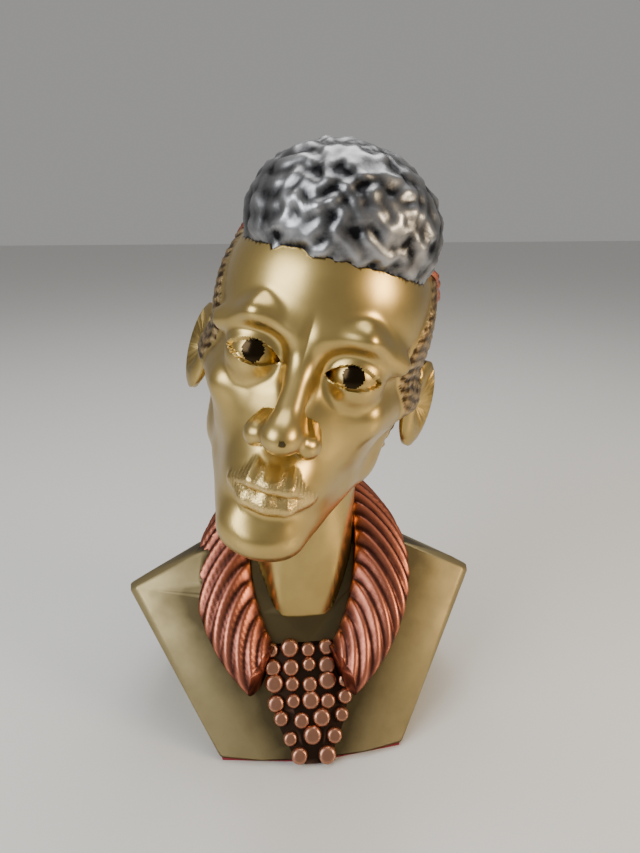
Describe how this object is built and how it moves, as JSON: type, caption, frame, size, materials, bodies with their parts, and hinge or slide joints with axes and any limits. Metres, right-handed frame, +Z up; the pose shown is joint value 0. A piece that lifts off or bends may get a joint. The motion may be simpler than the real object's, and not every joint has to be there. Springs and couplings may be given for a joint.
{
  "type": "portrait bust",
  "caption": "Table-top bust with tilted head, cap of curled hair, ribbed collar and studded bib, flat underneath for standing on a shelf.",
  "frame": {"origin": "middle of the felt pad's underside", "axes": "+Z up, the chest faces -Y"},
  "size_m": [0.159, 0.1487, 0.2526],
  "materials": {
    "brass": "satin, with dark hair cap and copper collar",
    "felt": "matt felt"
  },
  "bodies": {
    "root": {"bust": "brass", "felt_pad": "felt"}
  },
  "joints": []
}
